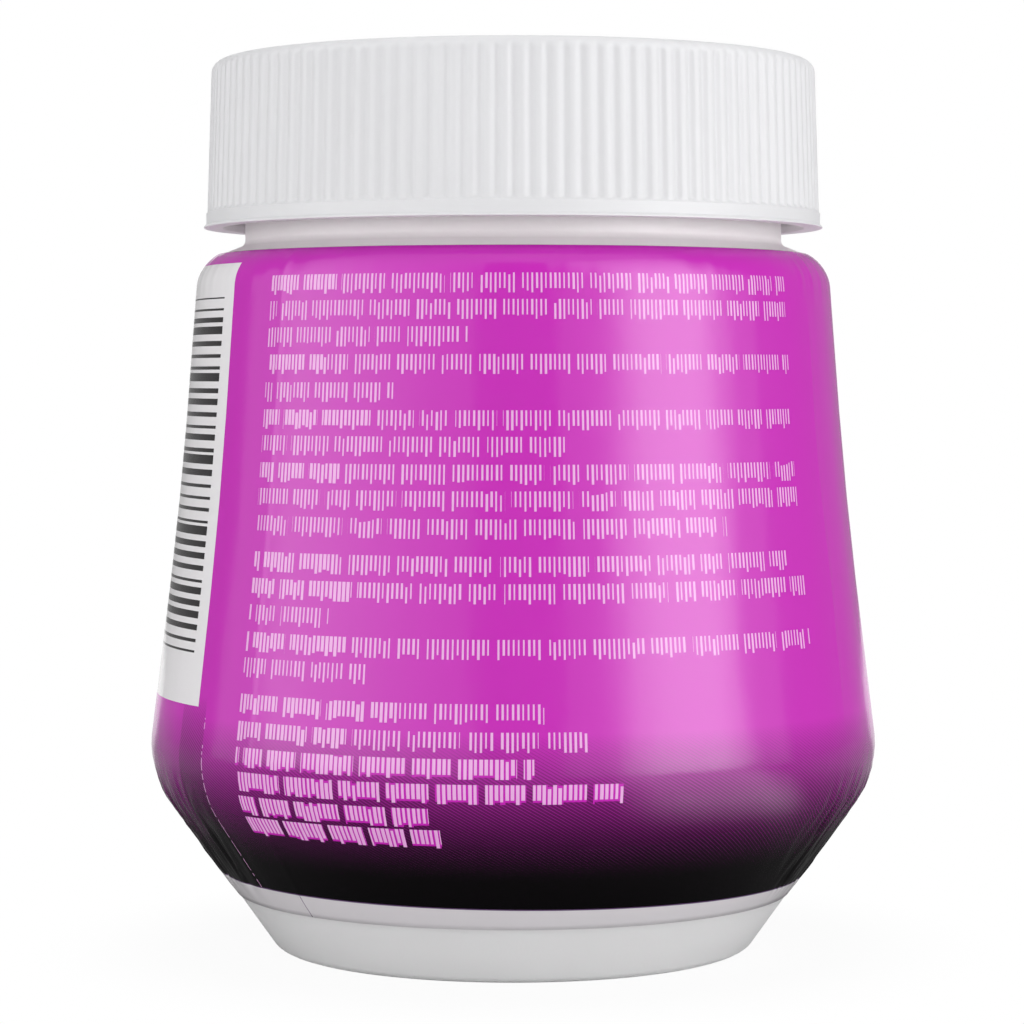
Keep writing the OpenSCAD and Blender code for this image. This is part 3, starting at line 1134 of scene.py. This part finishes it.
def pale_floor():
    """White laminate, matt: it keeps the jar's soft shadow close by and runs into the white surround
    further out."""
    material, tree = new_material("White laminate, matt")
    place = add(tree, "TexCoord").outputs["Object"]
    # Texture of the laminate, about 1 mm
    grain = add(tree, "TexNoise", {"Vector": place, "Scale": 900.0})
    rough = add(tree, "MapRange", {"Value": grain, "To Min": 0.55, "To Max": 0.7})
    away = add(tree, "VectorMath", {0: place}, operation="LENGTH").outputs["Value"]
    # The share of white that the camera sees, and that gloss sees, between two distances from the middle
    shares = []
    for first, last, least in ((0.024, 0.042, 0.94), (0.05, 0.3, 0.0)):
        span = {"Value": away, "From Min": first, "From Max": last, "To Min": least}
        shares.append(add(tree, "MapRange", span, interpolation_type="SMOOTHSTEP"))
    near, far = shares
    seen = add(tree, "LightPath").outputs
    share = add(tree, "Math", {0: near, 1: seen["Is Camera Ray"]}, operation="MULTIPLY")
    rays = {0: seen["Is Glossy Ray"], 1: seen["Is Transmission Ray"]}
    mirrored = add(tree, "Math", rays, operation="MAXIMUM")
    share = add(tree, "Math", {0: far, 1: mirrored, 2: share}, operation="MULTIPLY_ADD")
    matt = add(
        tree,
        "BsdfPrincipled",
        {"Base Color": (0.84, 0.84, 0.84, 1), "Roughness": rough, "Specular IOR Level": 0.2},
    )
    white = add(tree, "Emission", {0: (1, 1, 1, 1), 1: 1.0})
    both = add(tree, "MixShader", {0: share, 1: matt, 2: white})
    add(tree, "OutputMaterial", {0: both})
    return material


class SPONGEJAR_OT_studio(bpy.types.Operator):
    """Builds the pale floor, the white surround, the soft lamps and the camera"""

    bl_idname = "spongejar.studio"
    bl_label = "Studio"

    def execute(self, context):
        look = context.scene.sponge_jar.studio
        scene = context.scene
        scene.view_settings.view_transform = "Standard"
        scene.world = white_surround(look.sky)
        bm = bmesh.new()
        bmesh.ops.create_grid(bm, x_segments=8, y_segments=8, size=20)
        placed(bm, "floor", pale_floor())

        # Soft boxes that light the jar and aren't mirrored: name, first and last azimuth, elevation,
        # distance, height and brightness
        for box in (
            ("fill_left", -105, -35, 10, 0.9, 0.35, look.fill * 0.97),
            ("fill_front", -35, 35, 10, 0.9, 0.35, look.fill * 0.95),
            ("fill_right", 42, 108, 10, 0.9, 0.35, look.fill * 1.58),
            ("overhead", -30, 30, 89, 0.8, 1.0, look.top),
        ):
            lamp(*box).visible_glossy = False
        # What the film mirrors: a bright window on the right, a faint one on the left, and darker cards
        for window in (
            ("window_right", 24, 84, 22, 0.6, 1.0, look.window_right, RIGHT_FADES),
            ("window_left", -92, -14, 22, 0.6, 1.0, look.window_left, LEFT_FADES),
        ):
            lamp(*window).visible_diffuse = False
        upright = ((0.5, 0, 0.001), (0.5, 0, 0.9))
        for name, title, angle, first in (
            ("card_front", "Grey card behind the camera", 28.5, -13),
            ("card_right", "Grey card on the right", 76, 92),
            ("card_left", "Grey card on the left", 60, -165),
        ):
            card(name, title, upright, angle, first, 0, look.card)
        # The floor card is dark next to the foot and brighter further out: the jar's painted shadow on the
        # floor as the film mirrors it, with a painted pool of the right window's light on it
        flat = ((0.0195, 0, 0.0003), (0.5, 0, 0.0003))
        card("card_floor", "Card with painted shadow round the foot", flat, 300, -150, 0.05, 0.4, lit=1.8)

        camera = bpy.data.cameras.new("camera")
        camera.lens = look.lens
        camera.sensor_width = 36
        camera.clip_start = 0.01
        eye = bpy.data.objects.new("camera", camera)
        eye.location = (look.aside, -look.distance, look.eye_height)
        away = Vector(eye.location) - Vector((look.aside, 0, look.aim_height))
        eye.rotation_euler = away.to_track_quat("Z", "Y").to_euler()
        scene.collection.objects.link(eye)
        scene.camera = eye
        return {"FINISHED"}


class SPONGEJAR_PT_panel(bpy.types.Panel):
    """Lists the pieces of the sponge jar, each with its sizes and colours"""

    bl_idname = "SPONGEJAR_PT_panel"
    bl_label = "Sponge Jar"
    bl_space_type = "VIEW_3D"
    bl_region_type = "UI"
    bl_category = "Sponge Jar"

    def draw(self, context):
        looks = context.scene.sponge_jar
        for part in PARTS:
            box = self.layout.box()
            box.operator("spongejar." + part)
            look = getattr(looks, part)
            for name in look.__annotations__:
                box.prop(look, name)


PARTS = ("jar", "sleeve", "foam", "wad", "cap", "studio")

CLASSES = [
    JarLook,
    SleeveLook,
    FoamLook,
    WadLook,
    CapLook,
    StudioLook,
    SpongeJarLook,
    SPONGEJAR_OT_jar,
    SPONGEJAR_OT_sleeve,
    SPONGEJAR_OT_foam,
    SPONGEJAR_OT_wad,
    SPONGEJAR_OT_cap,
    SPONGEJAR_OT_studio,
    SPONGEJAR_PT_panel,
]


def register():
    for cls in CLASSES:
        bpy.utils.register_class(cls)
    bpy.types.Scene.sponge_jar = PointerProperty(type=SpongeJarLook)


def unregister():
    del bpy.types.Scene.sponge_jar
    for cls in reversed(CLASSES):
        bpy.utils.unregister_class(cls)


def main():
    register()
    bpy.ops.spongejar.studio()
    bpy.ops.spongejar.jar()
    bpy.ops.spongejar.sleeve()
    bpy.ops.spongejar.foam()
    bpy.ops.spongejar.wad()
    bpy.ops.spongejar.cap()


if __name__ == "__main__":
    main()
